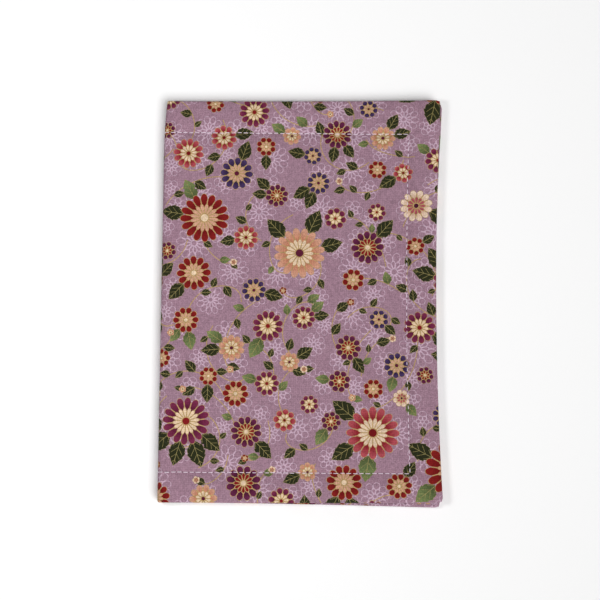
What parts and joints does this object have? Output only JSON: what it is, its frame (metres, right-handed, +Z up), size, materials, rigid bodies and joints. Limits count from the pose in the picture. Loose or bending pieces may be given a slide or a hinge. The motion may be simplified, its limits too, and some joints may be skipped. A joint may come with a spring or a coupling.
{
  "type": "thread keeper",
  "caption": "Folded fabric book for embroidery thread: a printed cotton cover hemmed round a lining, with a band of stitched channels inside each page and a soft spine that lets it lie open.",
  "frame": {"origin": "middle of the back cover's outer face, which the closed book lies on", "axes": "+X from the spine to the fore-edge, +Y along the spine towards the top of the pages, +Z up through the closed book from the back cover to the front cover"},
  "size_m": [0.113, 0.165, 0.0066],
  "materials": {
    "printed_cotton": "printed quilting cotton with a floral in gold outline, matt",
    "interlining": "woven fusible interlining",
    "lining_cotton": "plain unbleached cotton, matt",
    "band_cotton": "plain unbleached cotton, matt",
    "hem_thread": "pale lilac sewing thread",
    "band_thread": "cream sewing thread"
  },
  "bodies": {
    "back_page": {"back_cover": "printed_cotton", "back_interlining": "interlining", "back_lining": "lining_cotton", "back_channel_band": "band_cotton", "back_top_stitching": "hem_thread", "back_bottom_stitching": "hem_thread", "back_fore_edge_stitching": "hem_thread", "back_channel_stitching_01": "band_thread", "back_channel_stitching_02": "band_thread", "back_channel_stitching_03": "band_thread", "back_channel_stitching_04": "band_thread", "back_channel_stitching_05": "band_thread", "back_channel_stitching_06": "band_thread", "back_channel_stitching_07": "band_thread", "back_channel_stitching_08": "band_thread", "back_channel_stitching_09": "band_thread", "back_channel_stitching_10": "band_thread", "back_channel_stitching_11": "band_thread", "back_channel_stitching_12": "band_thread"},
    "spine": {"spine_cover": "printed_cotton", "spine_lining": "lining_cotton", "spine_top_stitching": "hem_thread", "spine_bottom_stitching": "hem_thread"},
    "front_page": {"front_cover": "printed_cotton", "front_interlining": "interlining", "front_lining": "lining_cotton", "front_channel_band": "band_cotton", "front_top_stitching": "hem_thread", "front_bottom_stitching": "hem_thread", "front_fore_edge_stitching": "hem_thread", "front_channel_stitching_01": "band_thread", "front_channel_stitching_02": "band_thread", "front_channel_stitching_03": "band_thread", "front_channel_stitching_04": "band_thread", "front_channel_stitching_05": "band_thread", "front_channel_stitching_06": "band_thread", "front_channel_stitching_07": "band_thread", "front_channel_stitching_08": "band_thread", "front_channel_stitching_09": "band_thread", "front_channel_stitching_10": "band_thread", "front_channel_stitching_11": "band_thread", "front_channel_stitching_12": "band_thread"}
  },
  "joints": [
    {"name": "spine_fold", "type": "hinge", "parent": "back_page", "child": "spine", "pos_m": [-0.0565, 0, 0], "axis": [0, -1, 0], "range_deg": [0, 90]},
    {"name": "cover_open", "type": "hinge", "parent": "spine", "child": "front_page", "pos_m": [-0.0565, 0, 0.0066], "axis": [0, -1, 0], "range_deg": [0, 90]}
  ],
  "couplings": [
    {"joint": "spine_fold", "follows": "cover_open", "ratio": 1}
  ]
}
